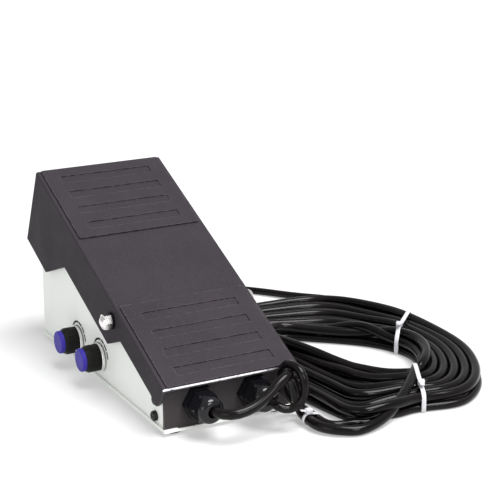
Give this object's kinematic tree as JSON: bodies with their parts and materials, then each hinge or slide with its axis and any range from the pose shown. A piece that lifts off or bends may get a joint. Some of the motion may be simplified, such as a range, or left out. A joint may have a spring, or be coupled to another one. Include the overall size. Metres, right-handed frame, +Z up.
{
  "type": "foot control pedal",
  "caption": "Sheet-steel foot pedal: sprung hinged treadle with ribbed mats over a white base, trim knobs on one side, and cables from its heel plate lying in a tied coil.",
  "frame": {"origin": "on the floor, at the middle of the pedal's own footprint without its cables", "axes": "+X from the heel edge to the toe, +Y to the side with the knobs, +Z up"},
  "size_m": [0.374, 0.3128, 0.1473],
  "materials": {
    "base_paint": "white satin powder coat",
    "heel_paint": "charcoal satin powder coat",
    "treadle_paint": "charcoal satin powder coat",
    "mat_rubber": "matt moulded rubber",
    "foot_rubber": "matt",
    "black_screw": "black oxide",
    "zinc_steel": "zinc plated",
    "chrome_nut": "polished",
    "washer_black": "matt black nylon",
    "bush_nylon": "natural nylon",
    "gear_steel": "blanked steel",
    "gear_nylon": "natural nylon",
    "pot_metal": "satin",
    "pot_shaft": "satin",
    "spring_steel": "oiled spring wire",
    "switch_plastic": "black moulded",
    "terminal_plastic": "cream moulded",
    "terminal_brass": "plain",
    "collar_grey": "pale grey",
    "knob_black": "black moulded",
    "knob_blue": "blue violet moulded",
    "gland_nylon": "glossy black nylon",
    "seal_rubber": "soft",
    "cable_black": "glossy black sheath",
    "tie_nylon": "natural translucent nylon",
    "plug_metal": "nickel plated"
  },
  "bodies": {
    "base": {"base_tray": "base_paint", "side_panel_left": "base_paint", "side_panel_right": "base_paint", "toe_panel": "base_paint", "heel_plate": "heel_paint", "rubber_feet": "foot_rubber", "side_screws": "black_screw", "side_nuts": "zinc_steel", "mechanism_frame": "zinc_steel", "frame_rivets": "zinc_steel", "stop_screw": "zinc_steel", "main_pot_nut": "zinc_steel", "panel_pot_nuts": "zinc_steel", "spring_post": "zinc_steel", "switch_screws": "zinc_steel", "pivot_bushes": "bush_nylon", "main_pot_body": "pot_metal", "panel_pot_1": "pot_metal", "panel_pot_2": "pot_metal", "return_spring": "spring_steel", "microswitch_body": "switch_plastic", "terminal_block": "terminal_plastic", "terminal_screws": "terminal_brass", "gland_1_body": "gland_nylon", "gland_2_body": "gland_nylon", "gland_1_nut": "gland_nylon", "gland_2_nut": "gland_nylon", "gland_locknuts": "gland_nylon", "gland_seals": "seal_rubber", "cable_coil": "cable_black", "cable_1_lead": "cable_black", "cable_2_lead": "cable_black", "cable_1_tail": "cable_black", "cable_2_tail": "cable_black", "tie_1": "tie_nylon", "tie_2": "tie_nylon", "tie_3": "tie_nylon", "plug_1_body": "plug_metal", "plug_2_body": "plug_metal"},
    "treadle": {"treadle_plate": "treadle_paint", "mat_toe": "mat_rubber", "mat_heel": "mat_rubber", "pivot_shaft": "zinc_steel", "pivot_washers": "washer_black", "dome_nuts": "chrome_nut", "sector_gear": "gear_steel", "spring_cup": "zinc_steel"},
    "pot_rotor": {"main_pot_shaft": "pot_shaft", "pinion": "gear_nylon"},
    "switch_lever": {"microswitch_lever": "zinc_steel"},
    "knob_1": {"knob_1_shaft": "pot_shaft", "knob_1_collar": "collar_grey", "knob_1_body": "knob_black", "knob_1_cap": "knob_blue"},
    "knob_2": {"knob_2_shaft": "pot_shaft", "knob_2_collar": "collar_grey", "knob_2_body": "knob_black", "knob_2_cap": "knob_blue"},
    "plug_1_coupling": {"plug_1_ring": "plug_metal"},
    "plug_2_coupling": {"plug_2_ring": "plug_metal"}
  },
  "joints": [
    {"name": "treadle_hinge", "type": "hinge", "parent": "base", "child": "treadle", "pos_m": [-0.0356, -0.0021, 0.064], "axis": [0, 1, 0], "range_deg": [0, 12], "stiffness_Nm_per_rad": 14, "springref_deg": -7.45, "deforming": ["return_spring"]},
    {"name": "pot_turn", "type": "hinge", "parent": "base", "child": "pot_rotor", "pos_m": [0.05065, -0.0021, 0.064], "axis": [0, 1, 0], "range_deg": [-161, 0]},
    {"name": "switch_swing", "type": "hinge", "parent": "base", "child": "switch_lever", "pos_m": [-0.0426, -0.0021, 0.027], "axis": [0, 1, 0], "range_deg": [-13.5, 0]},
    {"name": "knob_1_turn", "type": "hinge", "parent": "base", "child": "knob_1", "pos_m": [0.0435, 0.0494, 0.0226], "axis": [0, 1, 0], "range_deg": [-150, 150]},
    {"name": "knob_2_turn", "type": "hinge", "parent": "base", "child": "knob_2", "pos_m": [-0.0015, 0.0494, 0.0226], "axis": [0, 1, 0], "range_deg": [-150, 150]},
    {"name": "plug_1_screw", "type": "hinge", "parent": "base", "child": "plug_1_coupling", "pos_m": [0.152, -0.04, 0.009], "axis": [0, 1, 0], "continuous": true},
    {"name": "plug_2_screw", "type": "hinge", "parent": "base", "child": "plug_2_coupling", "pos_m": [0.174, -0.04, 0.009], "axis": [0, 1, 0], "continuous": true}
  ],
  "couplings": [
    {"joint": "pot_turn", "follows": "treadle_hinge", "ratio": -13.333},
    {"joint": "switch_swing", "follows": "treadle_hinge", "ratio": -1.1}
  ]
}
